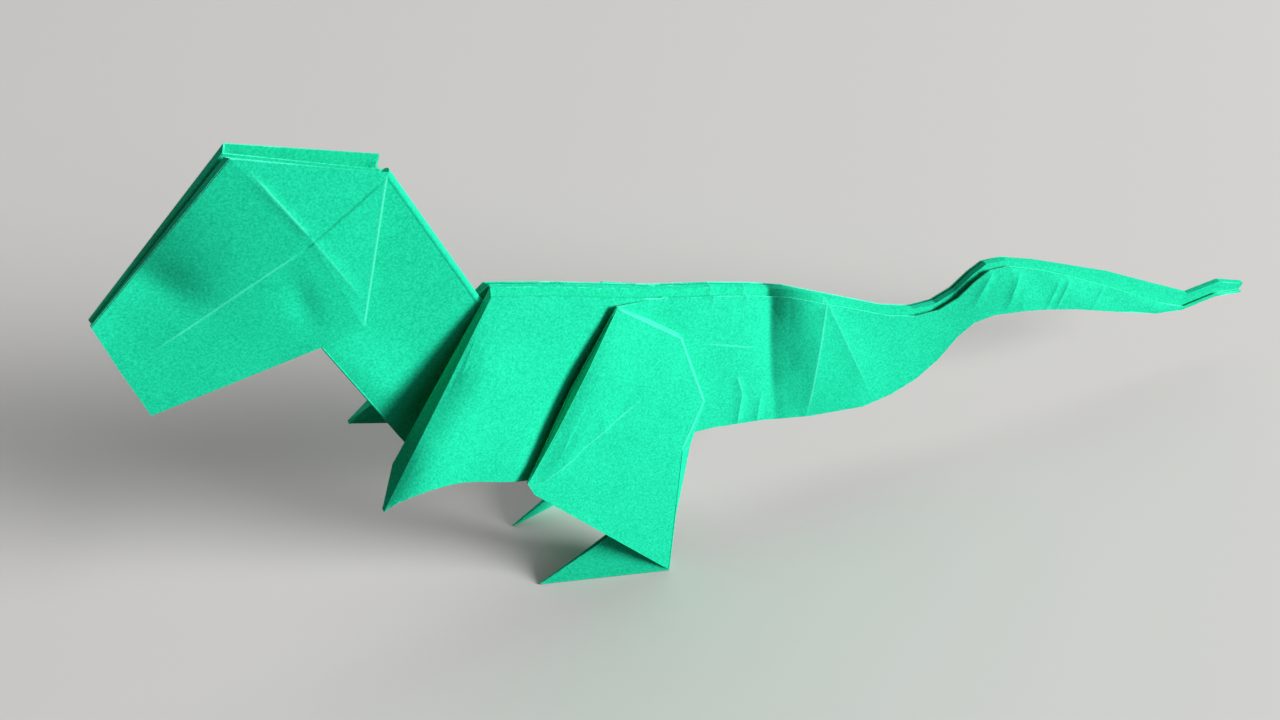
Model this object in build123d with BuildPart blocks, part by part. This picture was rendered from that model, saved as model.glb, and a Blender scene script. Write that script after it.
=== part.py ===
import os

from build123d import *

# A dinosaur folded from one square of paper. Nose towards -X, tail towards +X, mirrored about XZ.
# Lengths in mm. While the sheet is folded, X is counted from the toes and "out" from the mirror plane.

# The sheet
paper = 0.2
layer_gap = 0.6  # between the middles of two layers at a pressed fold
crease_radius = 0.75 * paper  # rounding along a single crease

# Ribs across the body, front to back: ridge x, ridge z, hem x, hem z, bow of the outer flap
body_ribs = [
    (-2.4, 49.8, -20.4, 26.0, 0.05),
    (3.0, 48.2, -10.0, 26.4, 0.6),
    (8.0, 46.6, -1.6, 22.4, 0.8),
    (13.2, 44.8, 6.0, 21.0, 0.5),
    (20.6, 42.4, 16.0, 20.4, 0.15),
]
# The same across the tail, where crumples bow the flap out or in
tail_ribs = [
    (27.2, 40.6, 26.0, 19.6, 0),
    (32.9, 38.8, 33.5, 18.2, 0.4),
    (38.0, 36.9, 37.5, 17.0, -0.15),
    (44.4, 33.5, 41.0, 15.8, 0.5),
    (46.0, 32.6, 49.5, 14.6, 0),
    (53.5, 28.6, 54.5, 14.7, 0),
    (58.0, 27.0, 58.6, 15.9, 0),
    (61.6, 26.9, 62.0, 18.1, 0),
    (64.6, 28.2, 65.0, 21.3, 0),
    (67.0, 30.4, 67.4, 23.1, 0),
    (69.0, 31.7, 70.4, 23.6, 0),
    (72.2, 31.5, 75.5, 22.8, 0.27),
    (77.0, 29.7, 79.5, 21.7, 0),
    (82.0, 27.4, 85.0, 19.9, 0.27),
    (91.0, 23.2, 92.5, 16.8, 0),
    (99.4, 18.5, 100.6, 13.6, 0.15),
    (106.8, 14.4, 106.0, 12.3, 0),
    (112.4, 15.1, 111.6, 13.1, 0),
    (117.4, 13.2, 116.8, 12.2, 0),
]

# How far the layers stand out along body and tail
arm_spread = 8.6
tail_root_spread = 4.6  # from here the tail keeps its slope and closes as it gets shallower
arm_fold = (-18.0, 5.5, 30.4)  # point of the layer that closes the front of the arm: x, out, z
raw_edge_out = 1.5  # raw edge of the outer flap, beside the ridge
raw_edge_tip_out = 0.7
raw_edge_drop = 0.5  # and below it
raw_edge_leaves_x = 69.0  # from here the raw edge comes down towards the hem
raw_edge_down_x = 106.8
raw_edge_down_share = 0.8  # of the tail's depth

# Head, measured forward and down from the nape
nape_x = -13.3
nape_z = 70.9
crown = (16.4, -6.0)
nose = (34.5, 12.2)
lip = (32.8, 19.0)
chin = (30.8, 26.9)
jaw = (5.0, 21.3)
cheek_forward = 9.7
cheek_drop = 5.7
cheek_rise = 0.9  # the creases meet at a point raised above the flat of the cheek
facet_reach = 2  # the cheek's facets, before they are cut to the head's outline, in lengths of their creases
nape_out = 1.9
snout_out = 1.1
lining_inset = 0.6  # the layer inside the head stands back from the crown

# Neck, two layers a side, from inside the head down to a tuck inside the body: x, z
neck_out = 0.4
dorsal_top = (-13.3, 69.8)
dorsal_foot = (-4.4, 48.9)
tuck_top = (2.0, 36.5)
tuck_bottom = (-8.5, 28.8)
throat_foot = (-15.0, 28.4)
throat_top = (-23.4, 47.4)

# Leg, a flat flap over the root of the tail, with a turned back edge: x, out, z
hip = (13.1, 2.6, 43.7)
heel = (17.4, 10.1, crease_radius)
leg_hem_front = (-0.9, 8.4, 21.0)
shin_turned = (22.1, 5.6, 18.9)
heel_turned = (17.7, 8.6, 0.9)
shank_inside = (0.5, 4.6, 20.8)
turn_lap = 0.03  # share of the turned edge that the thigh's corner covers
# Other corners of the flap, in its plane: x, z
thigh_front = (-1.6, 23.0)
knee = (21.8, 36.1)
thigh_back = (24.6, 25.2)
shin_back = (20.8, 18.9)

# Foot, folded forward between the layers of the leg: x, out, z
toe = (0.0, 5.8, crease_radius)
ankle = (14.0, 6.9, 9.0)
foot_opening = 0.8


def side(x, out, z):
    return Vector(x, -out, z)


def middle(x, z):
    return Vector(x, 0, z)


def between(first, last, share):
    return first + (last - first) * share


def flat_panel(*corners):
    plane = Plane(
        origin=corners[0],
        x_dir=corners[1] - corners[0],
        z_dir=(corners[1] - corners[0]).cross(corners[2] - corners[0]),
    )
    flat = [plane.to_local_coords(corner) for corner in corners]
    with BuildSketch(plane) as outline:
        with BuildLine():
            Polyline(*[(point.X, point.Y) for point in flat], close=True)
        make_face()
    extrude(outline.sketch, amount=paper / 2, both=True)


def crease(start, end, radius=crease_radius):
    with BuildSketch(Plane(origin=start, z_dir=end - start)) as round_edge:
        Circle(radius)
    extrude(round_edge.sketch, amount=(end - start).length)


def runs(layer):
    # Directions along a layer at its points, straight through two or on the arc through three
    chord = (layer[-1] - layer[0]).normalized()
    if len(layer) == 2:
        return [chord, chord]
    rise = (layer[1] - layer[0]).normalized()
    fall = (layer[2] - layer[1]).normalized()
    return [rise * (2 * rise.dot(chord)) - chord, chord, fall * (2 * fall.dot(chord)) - chord]


def both_faces(layers):
    # The two faces of a folded strip seen end on, mitred at its bends
    arrive = []
    leave = []
    for i, layer in enumerate(layers):
        along = runs(layer)
        fold_in = (layer[0] - layers[i - 1][-1]).normalized() if i else along[0]
        fold_out = (layers[i + 1][0] - layer[-1]).normalized() if layer is not layers[-1] else along[-1]
        arrive += [fold_in] + along[1:]
        leave += along[:-1] + [fold_out]
    left = []
    right = []
    for point, before, after in zip([point for layer in layers for point in layer], arrive, leave):
        bend = Vector(-before.Y - after.Y, before.X + after.X) / (1 + before.dot(after))
        left.append(point + bend * (paper / 2))
        right.append(point - bend * (paper / 2))
    return left, right


def paper_edge(plane, *layers):
    # A folded strip seen end on. A layer is straight between two points or bowed through three.
    with BuildSketch(plane) as edge_face:
        with BuildLine():
            left, right = both_faces(layers)
            for face in (left, right):
                first = 0
                for layer in layers:
                    if first:
                        Line(face[first - 1], face[first])
                    last = first + len(layer)
                    if len(layer) == 2:
                        Line(*face[first:last])
                    else:
                        ThreePointArc(*face[first:last])
                    first = last
            Line(left[0], right[0])
            Line(left[-1], right[-1])
        make_face()
    return edge_face.sketch


def twisted_panel(first, last):
    # A panel between two straight edges that don't lie in one plane
    travel = last[0] + last[1] - first[0] - first[1]
    edges = []
    for start, end in (first, last):
        along = end - start
        square = travel - along * (travel.dot(along) / along.dot(along))
        plane = Plane(origin=start, x_dir=along, z_dir=square)
        edges.append(paper_edge(plane, [Vector(0, 0), Vector(along.length, 0)]))
    loft(edges, ruled=True)


def rib_plane(rib):
    up = middle(rib[0], rib[1]) - middle(rib[2], rib[3])
    return Plane(origin=middle(rib[0], rib[1]), x_dir=(0, -1, 0), z_dir=Vector(0, -1, 0).cross(up))


def rib_depth(rib):
    return (middle(rib[0], rib[1]) - middle(rib[2], rib[3])).length


def rib_layers(rib):
    # One side of the M that the sheet makes: flap from its raw edge to the hem, inner layer from hem to ridge
    front_x = body_ribs[0][0]
    root_x = body_ribs[-1][0]
    tip_x = tail_ribs[-1][0]
    depth = rib_depth(rib)
    if rib in body_ribs:
        share = (rib[0] - front_x) / (root_x - front_x)
        raw = Vector(raw_edge_out, -raw_edge_drop)
        hem = Vector(between(arm_spread, tail_root_spread, share), -depth)
    else:
        share = (rib[0] - root_x) / (tip_x - root_x)
        down = (rib[0] - raw_edge_leaves_x) / (raw_edge_down_x - raw_edge_leaves_x)
        drop = between(raw_edge_drop, raw_edge_down_share * depth, min(max(down, 0), 1) ** 2)
        slope = (tail_root_spread - raw_edge_out) / rib_depth(body_ribs[-1])
        top_out = between(raw_edge_out, raw_edge_tip_out, share)
        raw = Vector(top_out + slope * drop, -drop)
        hem = Vector(top_out + slope * depth, -depth)
    belly = [(raw + hem) / 2 + Vector(rib[4], 0)] if rib[4] else []
    return [raw, *belly, hem], [hem - Vector(layer_gap, 0), Vector(layer_gap / 2, 0)]


def rib_section(rib):
    layers = rib_layers(rib)
    other_side = [[Vector(-point.X, point.Y) for point in reversed(layer)] for layer in reversed(layers)]
    return paper_edge(rib_plane(rib), *layers, *other_side)


def placed_ends(rib):
    # Raw edge, hem outside, hem inside and ridge
    flap, inner = rib_layers(rib)
    return [rib_plane(rib).from_local_coords(point) for point in (flap[0], flap[-1], inner[0], inner[-1])]


def on_panel(x, z, first, second, third):
    # The point of a flat panel at this x and z
    normal = (second - first).cross(third - first)
    return Vector(x, first.Y - (normal.X * (x - first.X) + normal.Z * (z - first.Z)) / normal.Y, z)


# Side of the head, from the nape forward and down, closing towards the snout
head_plane = Plane(
    origin=side(nape_x, nape_out, nape_z),
    x_dir=(-nose[0], nape_out - snout_out, 0),
    z_dir=(snout_out - nape_out, -nose[0], 0),
)

# Near half of head, neck, chest, leg and foot
with BuildPart() as near_side:
    # Cheek of the head, four flat facets: creases run from a raised point to the nape, crown, lip and jaw
    peak = Vector(cheek_forward, cheek_drop, cheek_rise)
    peak_point, crown_edge, lip_edge = [head_plane.from_local_coords(point) for point in (peak, crown, lip)]
    facet_corners = [between(peak, Vector(*end), facet_reach) for end in ((0, 0), crown, lip, jaw)]
    with BuildSketch(head_plane.offset(cheek_rise * (1 - facet_reach))) as facets:
        with BuildLine():
            Polyline(*facet_corners, close=True)
        make_face()
    for level, mode in ((paper / 2, Mode.ADD), (-paper / 2, Mode.SUBTRACT)):
        lift = head_plane.z_dir * level
        loft([facets.sketch.face().moved(Location(lift)), Vertex(*(peak_point + lift))], mode=mode)
    with BuildSketch(head_plane) as outline:
        with BuildLine():
            Polyline((0, 0), crown, nose, lip, chin, jaw, close=True)
        make_face()
    extrude(outline.sketch, amount=facet_reach * cheek_rise, both=True, mode=Mode.INTERSECT)

    # Neck, which runs on up as the layer inside the head and turns out along the face
    nose_flat, chin_flat = [head_plane.from_local_coords(corner) for corner in (nose, chin)]
    nose_edge = on_panel(nose_flat.X, nose_flat.Z, peak_point, crown_edge, lip_edge)
    lining_top = between(crown_edge, nose_edge, lining_inset / (nose_edge - crown_edge).length)
    crown_inside = side(lining_top.X, neck_out, lining_top.Z)
    nose_inside = side(nose_edge.X, neck_out, nose_edge.Z)
    chin_inside = side(chin_flat.X, neck_out, chin_flat.Z)
    tuck_high = side(tuck_top[0], neck_out, tuck_top[1])
    tuck_low = side(tuck_bottom[0], neck_out, tuck_bottom[1])
    throat_low = side(throat_foot[0], neck_out, throat_foot[1])
    throat_high = side(throat_top[0], neck_out, throat_top[1])
    flat_panel(
        side(dorsal_top[0], neck_out, dorsal_top[1]),
        side(dorsal_foot[0], neck_out, dorsal_foot[1]),
        tuck_high,
        tuck_low,
        throat_low,
        throat_high,
        chin_inside,
        nose_inside,
        crown_inside,
    )
    flat_panel(crown_edge, nose_edge, nose_inside, crown_inside)
    crease(throat_high, throat_low)

    # Front of the body: a layer closes it from the flap to the inner layer, which runs back to the tuck
    with BuildSketch(rib_plane(body_ribs[0])) as front_gap:
        with BuildLine():
            flap, inner = rib_layers(body_ribs[0])
            Polyline(flap[0], flap[-1], inner[0], inner[-1], close=True)
        make_face()
    loft([front_gap.sketch.face(), Vertex(*side(*arm_fold))])
    arm_inside, ridge_front = placed_ends(body_ribs[0])[2:]
    flat_panel(ridge_front, arm_inside, tuck_high)
    flat_panel(arm_inside, tuck_low, tuck_high)

    # Leg: outer layer, turned edge and inner layer
    hip_corner = side(*hip)
    heel_corner = side(*heel)
    hem_corner = side(*leg_hem_front)
    front_corner, knee_corner, thigh_corner, shin_corner = [
        on_panel(x, z, hip_corner, heel_corner, hem_corner)
        for x, z in (thigh_front, knee, thigh_back, shin_back)
    ]
    shin_edge = side(*shin_turned)
    heel_edge = side(*heel_turned)
    flat_panel(hip_corner, knee_corner, thigh_corner, shin_corner, heel_corner, hem_corner, front_corner)
    flat_panel(thigh_corner, shin_corner, between(shin_edge, heel_edge, turn_lap))
    twisted_panel((shin_corner, heel_corner), (shin_edge, heel_edge))
    flat_panel(shin_edge, heel_edge, side(*shank_inside))
    crease(hip_corner, front_corner)
    crease(shin_corner, heel_corner)
    crease(shin_edge, heel_edge)

    # Pleat that joins the front of the leg to the flap at the root of the tail, just through it
    raw_root, hem_root = placed_ends(body_ribs[-1])[:2]
    lap = Vector(0, layer_gap / 2, 0)
    twisted_panel((hip_corner, front_corner), (raw_root + lap, hem_root + lap))

    # Foot, creased along its sole, with its point held inside the leg
    toe_corner = side(*toe)
    ankle_corner = side(*ankle)
    flat_panel(toe_corner, heel_corner, ankle_corner)
    flat_panel(toe_corner, heel_corner, ankle_corner + Vector(0, foot_opening, 0))
    crease(toe_corner, heel_corner)

# The whole sheet: body and tail, the two sides, and the folds that join them in the middle
with BuildPart() as sheet:
    loft([rib_section(rib) for rib in body_ribs])
    loft([rib_section(rib) for rib in body_ribs[-1:] + tail_ribs], ruled=True)
    add(near_side.part)
    mirror(near_side.part, about=Plane.XZ)
    dorsal_line = [middle(*dorsal_top), middle(*dorsal_foot), middle(*tuck_top)]
    for start, end in zip(dorsal_line, dorsal_line[1:]):
        crease(start, end, radius=neck_out + crease_radius)
    with BuildSketch(Plane.XZ):
        with BuildLine():
            Polyline(*[(nape_x - forward + paper, nape_z - drop) for forward, drop in (nose, lip, chin)])
        trace(line_width=paper)
    extrude(amount=neck_out, both=True)

# Origin under the middle of the figure, on the surface it stands on
box = sheet.part.bounding_box()
with BuildPart() as folded_sheet:
    with Locations((-box.center().X, 0, -box.min.Z)):
        add(sheet.part)

os.makedirs("parts", exist_ok=True)
folded_sheet.part.label = "folded_sheet"
export_step(folded_sheet.part, "parts/folded_sheet.step")
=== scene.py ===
import math

import bpy
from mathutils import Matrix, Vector


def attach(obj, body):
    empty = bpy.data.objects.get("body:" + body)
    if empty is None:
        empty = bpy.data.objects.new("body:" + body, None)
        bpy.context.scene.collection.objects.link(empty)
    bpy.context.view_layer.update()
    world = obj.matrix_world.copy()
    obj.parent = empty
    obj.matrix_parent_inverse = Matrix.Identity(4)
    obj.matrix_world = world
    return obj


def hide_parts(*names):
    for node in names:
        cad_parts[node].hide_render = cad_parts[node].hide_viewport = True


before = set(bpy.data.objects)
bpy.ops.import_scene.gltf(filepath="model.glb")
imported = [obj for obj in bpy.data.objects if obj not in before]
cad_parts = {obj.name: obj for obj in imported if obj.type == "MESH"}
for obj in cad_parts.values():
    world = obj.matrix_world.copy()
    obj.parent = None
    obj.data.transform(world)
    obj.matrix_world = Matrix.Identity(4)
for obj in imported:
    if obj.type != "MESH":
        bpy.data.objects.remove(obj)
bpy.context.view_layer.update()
scene = bpy.context.scene
scene.view_settings.view_transform = "Standard"
print("frame loaded")


def pickOnly(piece):
    bpy.ops.object.select_all(action="DESELECT")
    piece.select_set(True)
    bpy.context.view_layer.objects.active = piece


def pickFaces(piece, wanted):
    # leaves edit mode on, with the wanted faces selected
    pickOnly(piece)
    bpy.ops.object.mode_set(mode="EDIT")
    bpy.ops.mesh.select_mode(type="FACE")
    bpy.ops.mesh.select_all(action="DESELECT")
    bpy.ops.object.mode_set(mode="OBJECT")
    for face in piece.data.polygons:
        face.select = wanted(face)
    bpy.ops.object.mode_set(mode="EDIT")


def pickBends(piece, angle):
    # leaves object mode on, with the edges selected where the faces turn by more than the angle
    pickOnly(piece)
    bpy.ops.object.mode_set(mode="EDIT")
    bpy.ops.mesh.select_mode(type="EDGE")
    bpy.ops.mesh.select_all(action="DESELECT")
    bpy.ops.mesh.edges_select_sharp(sharpness=math.radians(angle))
    bpy.ops.object.mode_set(mode="OBJECT")


def flat(place):
    # a place in the side view, given as x and z
    return Vector((place[0], 0.0, place[1]))


def between(ends, share):
    return ends[0] + (ends[1] - ends[0]) * share


def eased(share):
    # from 0 to 1, level at both ends
    return 0.5 - 0.5 * math.cos(math.pi * min(max(share, 0.0), 1.0))


# the folded figure, a copy of the solid's mesh
foldedPaper = {
    "mergeDistance": 0.000002,
    "foldAngle": 16.0,      # degrees between faces that count as a fold
    "headFoldAngle": 2.0,   # the cheeks have finer creases
    "headEnd": -0.0465,     # x of the back of the head
    "edgeWidth": 0.00024,   # faces narrower than this are paper edges and pressed folds
    "edgeAngle": 24.0,      # if they turn by this much from the next face
    "edgeShare": 0.3,       # along this share of their longest side
}
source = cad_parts["folded_sheet"]
figure = bpy.data.objects.new("foldedPaper", source.data.copy())
scene.collection.objects.link(figure)
pickOnly(figure)
bpy.ops.mesh.customdata_custom_splitnormals_clear()
bpy.ops.object.mode_set(mode="EDIT")
bpy.ops.mesh.select_all(action="SELECT")
bpy.ops.mesh.remove_doubles(threshold=foldedPaper["mergeDistance"])
bpy.ops.object.mode_set(mode="OBJECT")
print("figure copied", len(figure.data.polygons), "faces")

# soft rolls behind the front folds of leg and body, where the paper springs up before it lies flat
legRoll = {
    "top": (-0.0217, 0.0437), "bottom": (-0.0364, 0.0230),   # the fold, x and z
    "out": (0.0026, 0.0079),            # its distance from the middle, top and bottom
    "slope": 0.19,                      # how the flap drifts out away from the fold
    "lift": 0.00050, "edgeLift": 0.00050, "crest": 0.0024, "end": 0.0120,
    "cuts": (0.0003, 0.0007, 0.0012, 0.0018, 0.0024, 0.0036, 0.0055, 0.0080, 0.0100, 0.0120),
    "fade": (0.02, 0.35, 0.70, 0.98),   # shares of the fold where the roll grows and ends
}
bodyRoll = {
    "top": (-0.0372, 0.0494), "bottom": (-0.0552, 0.0261),
    "out": (0.0015, 0.0086),
    "slope": -0.10,
    "lift": 0.00080, "edgeLift": 0.0, "crest": 0.0030, "end": 0.0100,
    "cuts": (0.0003, 0.0007, 0.0012, 0.0018, 0.0024, 0.0030, 0.0044, 0.0062, 0.0080, 0.0100),
    "fade": (0.10, 0.35, 0.90, 1.20),
}
flapCuts = {
    "behind": (-0.016, 0.030),   # what is cut, from ahead of a fold to behind it
    "down": (-0.25, 1.7),        # and in shares of the fold
    "steps": 12,                 # across a roll
    "slack": 0.0003,             # ahead of a fold, still part of its flap
    "flapDepth": 0.00042,        # inward from the flap's outer face
}


def foldAxes(roll):
    # the way down the fold and the direction behind it
    run = flat(roll["bottom"]) - flat(roll["top"])
    return run, Vector((-run.z, 0.0, run.x)).normalized()


def besideFold(roll, point):
    # distance behind the fold and share down it
    run, across = foldAxes(roll)
    offset = flat((point.x, point.z)) - flat(roll["top"])
    return offset.dot(across), offset.dot(run) / run.length_squared


def nearFold(roll, face):
    behind, share = besideFold(roll, face.center)
    return (flapCuts["behind"][0] < behind < flapCuts["behind"][1]
            and flapCuts["down"][0] < share < flapCuts["down"][1])


def cutAround(roll, cuts, shares):
    # lines beside the fold and across it, over more than the area that is shaped
    run, across = foldAxes(roll)
    planes = [(across * cut, across) for cut in cuts] + [(run * share, run) for share in shares]
    for offset, normal in planes:
        pickFaces(figure, lambda face: nearFold(roll, face))
        bpy.ops.mesh.bisect(plane_co=flat(roll["top"]) + offset, plane_no=normal)
        bpy.ops.object.mode_set(mode="OBJECT")


def onFlap(roll, point):
    # distance behind the fold and share down it if the point lies in the outer flap, else None
    behind, share = besideFold(roll, point)
    if not -flapCuts["slack"] < behind < roll["end"] or not roll["fade"][0] < share < roll["fade"][3]:
        return None
    out = between(roll["out"], share) + roll["slope"] * behind * max(share, 0.0)
    return (behind, share) if abs(point.y) > out - flapCuts["flapDepth"] else None


def swell(share, fade):
    # grows from the first share to the second, and dies away from the third to the fourth
    grown = eased((share - fade[0]) / (fade[1] - fade[0]))
    return grown * eased((fade[3] - share) / (fade[3] - fade[2]))


for roll in (legRoll, bodyRoll):
    steps = [step / flapCuts["steps"] for step in range(flapCuts["steps"] + 1)]
    cutAround(roll, roll["cuts"], [between((roll["fade"][0], roll["fade"][3]), step) for step in steps])
    for vertex in figure.data.vertices:
        found = onFlap(roll, vertex.co)
        if found is None:
            continue
        behind = max(found[0], 0.0)
        if behind < roll["crest"]:
            rise = 1 - (1 - behind / roll["crest"]) ** 2
        else:
            rise = 1 - eased((behind - roll["crest"]) / (roll["end"] - roll["crest"]))
        lift = roll["lift"] * rise + roll["edgeLift"] * (1 - eased(behind / roll["end"]))
        vertex.co.y += math.copysign(lift * swell(found[1], roll["fade"]), vertex.co.y)

# the body flap dips under the leg's front fold
flapDip = {
    "depth": 0.0012, "reach": 0.0090,
    "under": 0.0016,             # how far it goes on under the leg
    "shares": (0.02, 1.0),       # of the leg's fold
    "inside": (0.0009, 0.0061),  # the flap's inner face from the middle, top and bottom
    "legGap": 0.00008,           # under the leg it lies this much inside the fold
    "spread": 0.002,             # and ahead of it, it may lie this much outside
    "fade": 1.5,                 # how fast the dip dies away towards the fold's ends
    "cuts": (-0.0010, 0.0, 0.0006, 0.0013, 0.0022, 0.0034, 0.0050, 0.0068, 0.0090),
}


def aheadOfLeg(point):
    # distance ahead of the leg's fold and share down it if the point lies in the body's outer flap, else None
    behind, share = besideFold(legRoll, point)
    ahead = -behind
    if not -flapDip["under"] < ahead < flapDip["reach"]:
        return None
    if not flapDip["shares"][0] < share < flapDip["shares"][1]:
        return None
    outside = between(legRoll["out"], share) - flapDip["legGap"]
    if ahead > 0:
        outside += flapDip["spread"]
    return (ahead, share) if between(flapDip["inside"], share) < abs(point.y) < outside else None


cutAround(legRoll, [-cut for cut in flapDip["cuts"]], [])
for vertex in figure.data.vertices:
    found = aheadOfLeg(vertex.co)
    if found is None:
        continue
    near = min(1.0, 1 - found[0] / flapDip["reach"]) ** 2
    dip = flapDip["depth"] * near * math.sin(math.pi * found[1]) ** flapDip["fade"]
    vertex.co.y -= math.copysign(dip, vertex.co.y)
print("soft rolls shaped")

# crisp folds, with finer ones on the head
pickOnly(figure)
bpy.ops.object.shade_smooth_by_angle(angle=math.radians(foldedPaper["foldAngle"]))
pickBends(figure, foldedPaper["headFoldAngle"])
for edge in figure.data.edges:
    ends = [figure.data.vertices[end].co.x for end in edge.vertices]
    edge.select = edge.select and max(ends) < foldedPaper["headEnd"]
bpy.ops.object.mode_set(mode="EDIT")
bpy.ops.mesh.mark_sharp()
bpy.ops.object.mode_set(mode="OBJECT")
bpy.ops.object.modifier_add(type="WEIGHTED_NORMAL")
figure.modifiers[-1].keep_sharp = True
bpy.ops.object.modifier_apply(modifier=figure.modifiers[-1].name)
print("folds marked")

# dyed green paper with a fine fibre grain
greenPaper = {
    "deepGreen": (0.002, 0.47, 0.245, 1.0),
    "lightGreen": (0.014, 0.70, 0.395, 1.0),
    "highlightAndFibreGreen": (0.110, 0.93, 0.640, 1.0),   # painted highlight along edges and creases, partly the lighter bare fibres there
    "mottle": {"scale": 3400.0, "detail": 5.0, "rough": 0.7, "share": 0.88},
    "cloud": {"scale": 160.0, "detail": 3.0, "rough": 0.6, "share": 0.12},
    "dyeRange": (0.37, 0.63),                 # of mottle and cloud, from deep to light
    "fibre": {"scale": 5200.0, "detail": 4.0, "rough": 0.6, "height": 0.000016},
    "roughness": 0.80,
    "specular": 0.10,
    "lineWidth": 0.00022,
    "highlightAndWear": 0.6,                              # painted highlight and fibre green in the strongest crease line
    "foldRound": 0.12,                        # rounding of a crease, as a share of its reach
}
# creases pressed into the sheet, in metres: ends as x and z, reach towards tail and nose, fade at both
# ends, height, strength of the painted highlight line along the crease
pressedFolds = [
    # head
    {"from": (-0.0630, 0.0753), "to": (-0.0578, 0.0654), "reach": (0.0010, 0.0014),
     "fade": (0.003, 0.001), "height": 0.00014, "line": 0.7},
    {"from": (-0.0578, 0.0654), "to": (-0.0527, 0.0538), "reach": (0.0014, 0.0018),
     "fade": (0.001, 0.004), "height": 0.00012, "line": 0.25},
    {"from": (-0.0485, 0.0702), "to": (-0.0590, 0.0635), "reach": (0.0004, 0.0004),
     "fade": (0.002, 0.001), "height": -0.00020, "line": 0.0},
    {"from": (-0.0590, 0.0635), "to": (-0.0770, 0.0538), "reach": (0.0008, 0.0008),
     "fade": (0.002, 0.004), "height": 0.00006, "line": 0.75},
    {"from": (-0.0483, 0.0708), "to": (-0.0532, 0.0501), "reach": (0.0003, 0.0003),
     "fade": (0.001, 0.001), "height": 0.00003, "line": 1.0},
    # leg, its back edges and a faint line across
    {"from": (-0.0218, 0.0436), "to": (-0.0131, 0.0360), "reach": (0.0003, 0.0004),
     "fade": (0.001, 0.0002), "height": 0.00004, "line": 1.0},
    {"from": (-0.01315, 0.03605), "to": (-0.01035, 0.02515), "reach": (0.0003, 0.0004),
     "fade": (0.0002, 0.0002), "height": 0.00004, "line": 1.0},
    {"from": (-0.01033, 0.02525), "to": (-0.01413, 0.01898), "reach": (0.0003, 0.0004),
     "fade": (0.0002, 0.001), "height": 0.00004, "line": 0.8},
    {"from": (-0.0191, 0.0294), "to": (-0.0352, 0.0218), "reach": (0.0005, 0.0005),
     "fade": (0.003, 0.003), "height": 0.00003, "line": 0.6},
    # tail, a bowed valley, the ridge behind it and the crease that runs back from the ridge
    {"from": (0.0035, 0.0560), "to": (0.0022, 0.0100), "reach": (0.0080, 0.0300),
     "fade": (0.004, 0.024), "height": -0.00340, "line": 0.0, "bow": -0.0028},
    {"from": (0.0089, 0.0340), "to": (0.0057, 0.0150), "reach": (0.0022, 0.0022),
     "fade": (0.001, 0.004), "height": 0.00016, "line": 0.8},
    {"from": (0.0089, 0.0338), "to": (0.0162, 0.0158), "reach": (0.0045, 0.0030),
     "fade": (0.001, 0.006), "height": 0.00026, "line": 0.35},
    # nicks at the tail's raw edge
    {"from": (-0.0078, 0.0412), "to": (-0.0085, 0.0375), "reach": (0.0018, 0.0012),
     "fade": (0.0002, 0.003), "height": 0.00018, "line": 0.3},
    {"from": (-0.0030, 0.0402), "to": (-0.0036, 0.0358), "reach": (0.0022, 0.0012),
     "fade": (0.0002, 0.004), "height": 0.00022, "line": 0.3},
    # small creases at the tail's hem
    {"from": (-0.0050, 0.0270), "to": (-0.0042, 0.0235), "reach": (0.0010, 0.0016),
     "fade": (0.001, 0.001), "height": 0.00018, "line": 0.6},
    {"from": (-0.0042, 0.0240), "to": (-0.0051, 0.0186), "reach": (0.0012, 0.0018),
     "fade": (0.001, 0.001), "height": 0.00026, "line": 0.4},
    {"from": (-0.0014, 0.0235), "to": (-0.0021, 0.0180), "reach": (0.0010, 0.0016),
     "fade": (0.002, 0.001), "height": 0.00020, "line": 0.2},
    {"from": (-0.0097, 0.0334), "to": (-0.0022, 0.0306), "reach": (0.0006, 0.0006),
     "fade": (0.002, 0.002), "height": 0.00004, "line": 0.5},
    # ripples towards the tip
    {"from": (0.0350, 0.0310), "to": (0.0322, 0.0255), "reach": (0.0014, 0.0018),
     "fade": (0.0015, 0.0030), "height": 0.00028, "line": 0.0},
    {"from": (0.0395, 0.0300), "to": (0.0376, 0.0235), "reach": (0.0014, 0.0018),
     "fade": (0.0015, 0.0030), "height": 0.00028, "line": 0.0},
    {"from": (0.0468, 0.0262), "to": (0.0444, 0.0212), "reach": (0.0008, 0.0012),
     "fade": (0.0010, 0.0020), "height": 0.00018, "line": 0.0},
    {"from": (0.0486, 0.0258), "to": (0.0462, 0.0208), "reach": (0.0008, 0.0010),
     "fade": (0.0010, 0.0020), "height": 0.00018, "line": 0.2},
    {"from": (0.0553, 0.0224), "to": (0.0526, 0.0184), "reach": (0.0010, 0.0014),
     "fade": (0.0010, 0.0020), "height": 0.00018, "line": 0.0},
]
# soft dents and swellings: centre and direction as x and z, reach along and across, height
softDents = [
    # snout
    {"centre": (-0.0790, 0.0665), "along": (0.0050, -0.0087), "reach": (0.0100, 0.0085), "height": -0.00220},
    {"centre": (-0.0744, 0.0627), "along": (0.0069, -0.0074), "reach": (0.0055, 0.0026), "height": -0.00050},
    # cheek
    {"centre": (-0.0598, 0.0560), "along": (0.0014, -0.0078), "reach": (0.0042, 0.0016), "height": -0.00032},
    # neck
    {"centre": (-0.0530, 0.0385), "along": (0.0050, -0.0087), "reach": (0.0100, 0.0050), "height": 0.00120},
]


def feed(tree, socket, value):
    # links another node's output, or sets a number or colour
    if isinstance(value, bpy.types.NodeSocket):
        tree.links.new(value, socket)
    else:
        socket.default_value = value


def joinMath(tree, operation, first, second, clamp=False):
    node = tree.nodes.new("ShaderNodeMath")
    node.operation = operation
    node.use_clamp = clamp
    feed(tree, node.inputs[0], first)
    feed(tree, node.inputs[1], second)
    return node.outputs[0]


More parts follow.
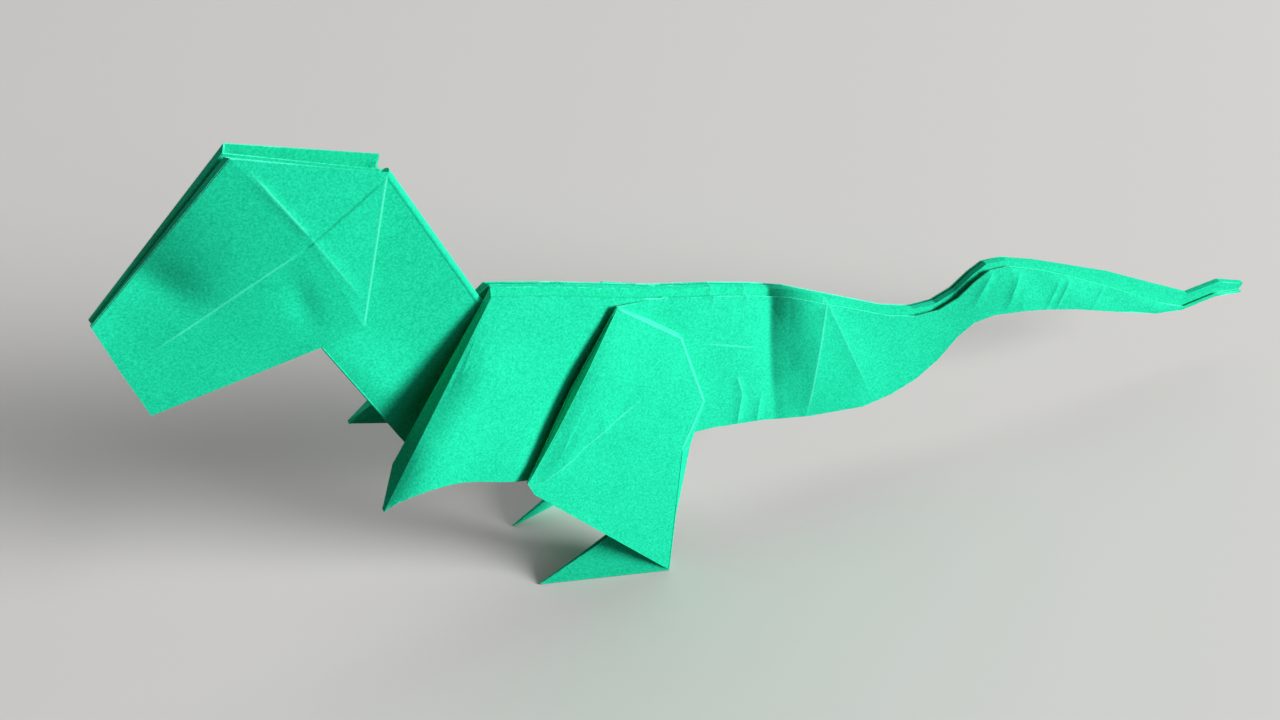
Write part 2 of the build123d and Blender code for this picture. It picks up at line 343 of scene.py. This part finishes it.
def joinVectors(tree, operation, first, second, out):
    node = tree.nodes.new("ShaderNodeVectorMath")
    node.operation = operation
    feed(tree, node.inputs[0], first)
    feed(tree, node.inputs[1], second)
    return node.outputs[out]


def mixColours(tree, share, first, second):
    node = tree.nodes.new("ShaderNodeMix")
    node.data_type = "RGBA"
    feed(tree, node.inputs["Factor"], share)
    feed(tree, node.inputs[6], first)    # its colour inputs are 6 and 7
    feed(tree, node.inputs[7], second)
    return node.outputs[2]


def noise(tree, place, look):
    node = tree.nodes.new("ShaderNodeTexNoise")
    node.inputs["Scale"].default_value = look["scale"]
    node.inputs["Detail"].default_value = look["detail"]
    node.inputs["Roughness"].default_value = look["rough"]
    feed(tree, node.inputs["Vector"], place)
    return node.outputs["Fac"]


def newGroup(name, vectors, numbers, results):
    group = bpy.data.node_groups.new(name, "ShaderNodeTree")
    for names, kind in ((vectors, "NodeSocketVector"), (numbers, "NodeSocketFloat")):
        for socket in names:
            group.interface.new_socket(socket, in_out="INPUT", socket_type=kind)
    for socket in results:
        group.interface.new_socket(socket, in_out="OUTPUT", socket_type="NodeSocketFloat")
    return group, group.nodes.new("NodeGroupInput").outputs, group.nodes.new("NodeGroupOutput").inputs


def foldGroup():
    # height and painted highlight line of one crease, from the place on the paper
    group, enter, leave = newGroup(
        "pressedFold", ("place", "start", "along", "across"),
        ("length", "frontReach", "backReach", "startFade", "endFade", "bow", "height", "line"),
        ("height", "line"),
    )
    offset = joinVectors(group, "SUBTRACT", enter["place"], enter["start"], "Vector")
    way = joinVectors(group, "DOT_PRODUCT", offset, enter["along"], "Value")
    aside = joinVectors(group, "DOT_PRODUCT", offset, enter["across"], "Value")
    share = joinMath(group, "DIVIDE", way, enter["length"])
    arch = joinMath(group, "MULTIPLY", share, joinMath(group, "SUBTRACT", 1.0, share))
    arch = joinMath(group, "MULTIPLY", arch, 4.0)   # 1 halfway along
    aside = joinMath(group, "SUBTRACT", aside, joinMath(group, "MULTIPLY", arch, enter["bow"]))
    front = joinMath(group, "DIVIDE", aside, enter["frontReach"])
    back = joinMath(group, "DIVIDE", joinMath(group, "MULTIPLY", aside, -1.0), enter["backReach"])
    away = joinMath(group, "SMOOTH_MAX", front, back)
    away.node.inputs[2].default_value = greenPaper["foldRound"]
    slope = joinMath(group, "SUBTRACT", 1.0, away, clamp=True)
    slope = joinMath(group, "POWER", slope, 2.0)
    left = joinMath(group, "SUBTRACT", enter["length"], way)
    startFade = joinMath(group, "DIVIDE", way, enter["startFade"], clamp=True)
    endFade = joinMath(group, "DIVIDE", left, enter["endFade"], clamp=True)
    fade = joinMath(group, "MULTIPLY", startFade, endFade)
    rise = joinMath(group, "MULTIPLY", slope, fade)
    feed(group, leave["height"], joinMath(group, "MULTIPLY", rise, enter["height"]))
    # painted highlight: a narrow lighter line along the crease, fading with it
    thin = joinMath(group, "DIVIDE", joinMath(group, "ABSOLUTE", aside, 0.0), greenPaper["lineWidth"])
    thin = joinMath(group, "MULTIPLY", joinMath(group, "SUBTRACT", 1.0, thin, clamp=True), fade)
    feed(group, leave["line"], joinMath(group, "MULTIPLY", thin, enter["line"]))
    return group


def dentGroup():
    # height of one soft oval dent
    group, enter, leave = newGroup("softDent", ("place", "centre", "along", "across"), ("height",), ("height",))
    offset = joinVectors(group, "SUBTRACT", enter["place"], enter["centre"], "Vector")
    spread = 0.0
    for side in ("along", "across"):
        share = joinVectors(group, "DOT_PRODUCT", offset, enter[side], "Value")
        share = joinMath(group, "ABSOLUTE", share, 0.0)
        spread = joinMath(group, "ADD", joinMath(group, "POWER", share, 2.0), spread)
    bell = joinMath(group, "POWER", math.exp(-1), spread)
    feed(group, leave["height"], joinMath(group, "MULTIPLY", bell, enter["height"]))
    return group


def addMark(tree, group, values):
    mark = tree.nodes.new("ShaderNodeGroup")
    mark.node_tree = group
    for name, value in values.items():
        feed(tree, mark.inputs[name], value)
    return mark.outputs


def paperMaterial(name, darkest, lightest):
    paper = bpy.data.materials.new(name)
    paper.use_nodes = True
    tree = paper.node_tree
    shader = tree.nodes["Principled BSDF"]
    shader.inputs["Roughness"].default_value = greenPaper["roughness"]
    shader.inputs["Specular IOR Level"].default_value = greenPaper["specular"]
    place = tree.nodes.new("ShaderNodeTexCoord").outputs["Object"]

    mottle, cloud = [
        joinMath(tree, "MULTIPLY", noise(tree, place, greenPaper[layer]), greenPaper[layer]["share"])
        for layer in ("mottle", "cloud")
    ]
    dye = tree.nodes.new("ShaderNodeValToRGB")
    for stop, position, colour in zip(dye.color_ramp.elements, greenPaper["dyeRange"], (darkest, lightest)):
        stop.position = position
        stop.color = colour
    feed(tree, dye.inputs["Fac"], joinMath(tree, "ADD", mottle, cloud))

    fibre = noise(tree, place, greenPaper["fibre"])
    height = joinMath(tree, "MULTIPLY", fibre, greenPaper["fibre"]["height"])
    litAndWorn = 0.0
    press = bpy.data.node_groups.get("pressedFold") or foldGroup()
    for fold in pressedFolds:
        start, end = flat(fold["from"]), flat(fold["to"])
        along = (end - start).normalized()
        across = Vector((-along.z, 0.0, along.x))
        if across.x < 0:
            across = -across
        mark = addMark(tree, press, {
            "place": place, "start": start, "along": along, "across": across, "length": (end - start).length,
            "frontReach": fold["reach"][0], "backReach": fold["reach"][1],
            "startFade": fold["fade"][0], "endFade": fold["fade"][1],
            "bow": fold.get("bow", 0.0), "height": fold["height"], "line": fold["line"],
        })
        height = joinMath(tree, "ADD", height, mark["height"])
        litAndWorn = joinMath(tree, "MAXIMUM", mark["line"], litAndWorn)
    hollow = bpy.data.node_groups.get("softDent") or dentGroup()
    for dent in softDents:
        along = flat(dent["along"]).normalized()
        across = Vector((-along.z, 0.0, along.x))
        mark = addMark(tree, hollow, {
            "place": place, "centre": flat(dent["centre"]), "height": dent["height"],
            "along": along / dent["reach"][0], "across": across / dent["reach"][1],
        })
        height = joinMath(tree, "ADD", height, mark["height"])

    # painted highlight along creases and edges, mixed in as a lighter green over the dye
    highlightAndWear = joinMath(tree, "MULTIPLY", litAndWorn, greenPaper["highlightAndWear"])
    colour = mixColours(tree, highlightAndWear, dye.outputs["Color"], greenPaper["highlightAndFibreGreen"])
    feed(tree, shader.inputs["Base Color"], colour)
    bump = tree.nodes.new("ShaderNodeBump")
    bump.inputs["Strength"].default_value = 1.0
    bump.inputs["Distance"].default_value = 1.0
    feed(tree, bump.inputs["Height"], height)
    feed(tree, shader.inputs["Normal"], bump.outputs["Normal"])
    return paper


figure.data.materials.clear()
figure.data.materials.append(paperMaterial("greenPaper", greenPaper["deepGreen"], greenPaper["lightGreen"]))
# the lighter paper for edges and folds is a painted highlight, partly also the lighter bare fibres
figure.data.materials.append(paperMaterial("paperEdgeHighlight", greenPaper["lightGreen"], greenPaper["highlightAndFibreGreen"]))

# paper edges and pressed folds get the lighter paper, a painted highlight where light catches them, partly also
# their bare fibres
pickBends(figure, foldedPaper["edgeAngle"])
bends = {}
for edge in figure.data.edges:
    if edge.select:
        first, last = [figure.data.vertices[end].co for end in edge.vertices]
        bends[edge.index] = (first - last).length


def isEdge(face):
    # narrow, and bent along enough of one side
    corners = [figure.data.vertices[corner].co for corner in face.vertices]
    longest = max((corners[i] - corners[i - 1]).length for i in range(len(corners)))
    bent = max(bends.get(figure.data.loops[loop].edge_index, 0.0) for loop in face.loop_indices)
    return 2 * face.area / longest < foldedPaper["edgeWidth"] and bent > foldedPaper["edgeShare"] * longest


pickFaces(figure, isEdge)
figure.active_material_index = 1
bpy.ops.object.material_slot_assign()
bpy.ops.object.mode_set(mode="OBJECT")
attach(figure, "root")
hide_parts("folded_sheet")
print("paper dyed and creased")

# plain pale floor, which throws little light back under the figure
floorLook = {
    "size": 6.0,
    "seen": (0.66, 0.65, 0.635, 1.0),
    "bounce": (0.12, 0.11, 0.10, 1.0),
    "roughness": 0.9,
    "specular": 0.1,
}
bpy.ops.object.select_all(action="DESELECT")
bpy.ops.mesh.primitive_plane_add(size=floorLook["size"], location=(0, 0, 0))
floor = bpy.context.active_object
floor.name = "floor"
floorPaint = bpy.data.materials.new("paleFloor")
floorPaint.use_nodes = True
floorTree = floorPaint.node_tree
floorShader = floorTree.nodes["Principled BSDF"]
floorShader.inputs["Roughness"].default_value = floorLook["roughness"]
floorShader.inputs["Specular IOR Level"].default_value = floorLook["specular"]
path = floorTree.nodes.new("ShaderNodeLightPath").outputs
seen = joinMath(floorTree, "MAXIMUM", path["Is Camera Ray"], path["Is Glossy Ray"])
seen = joinMath(floorTree, "MAXIMUM", seen, path["Is Transmission Ray"])
feed(floorTree, floorShader.inputs["Base Color"],
     mixColours(floorTree, seen, floorLook["bounce"], floorLook["seen"]))
floor.data.materials.append(floorPaint)

# soft key light from the tail's side, a weak fill and a softer lamp for the far side
studio = {
    "key": {"place": (1.86, -1.46, 0.83), "aim": (0.0, 0.0, 0.03), "size": 0.9, "power": 116.0},
    "fill": {"place": (0.30, -1.20, 0.60), "aim": (0.0, 0.0, 0.03), "size": 0.8, "power": 1.4},
    "back": {"place": (0.20, 1.50, 1.50), "aim": (0.0, 0.0, 0.03), "size": 3.2, "power": 30.0},
}
studioAir = {"colour": (1.0, 1.0, 1.0, 1.0), "strength": 0.04}
for name, lamp in studio.items():
    bpy.ops.object.light_add(type="AREA", location=lamp["place"])
    light = bpy.context.active_object
    light.name = name
    light.data.size = lamp["size"]
    light.data.energy = lamp["power"]
    light.rotation_euler = (Vector(lamp["aim"]) - Vector(lamp["place"])).to_track_quat("-Z", "Y").to_euler()
world = bpy.data.worlds.new("studioAir")
scene.world = world
world.use_nodes = True
air = world.node_tree.nodes["Background"]
air.inputs["Color"].default_value = studioAir["colour"]
air.inputs["Strength"].default_value = studioAir["strength"]
print("floor and light set")

# camera where the picture was taken from
viewPoint = {
    "place": (-0.0793, -0.1527, 0.1812),
    "forward": (0.2769, 0.6853, -0.6735),
    "lens": 47.81,
    "sensor": 36.0,
    "clipStart": 0.005,
}
bpy.ops.object.camera_add(location=viewPoint["place"])
camera = bpy.context.active_object
camera.rotation_euler = Vector(viewPoint["forward"]).to_track_quat("-Z", "Y").to_euler()
camera.data.lens = viewPoint["lens"]
camera.data.sensor_width = viewPoint["sensor"]
camera.data.clip_start = viewPoint["clipStart"]
scene.camera = camera
print("camera set")
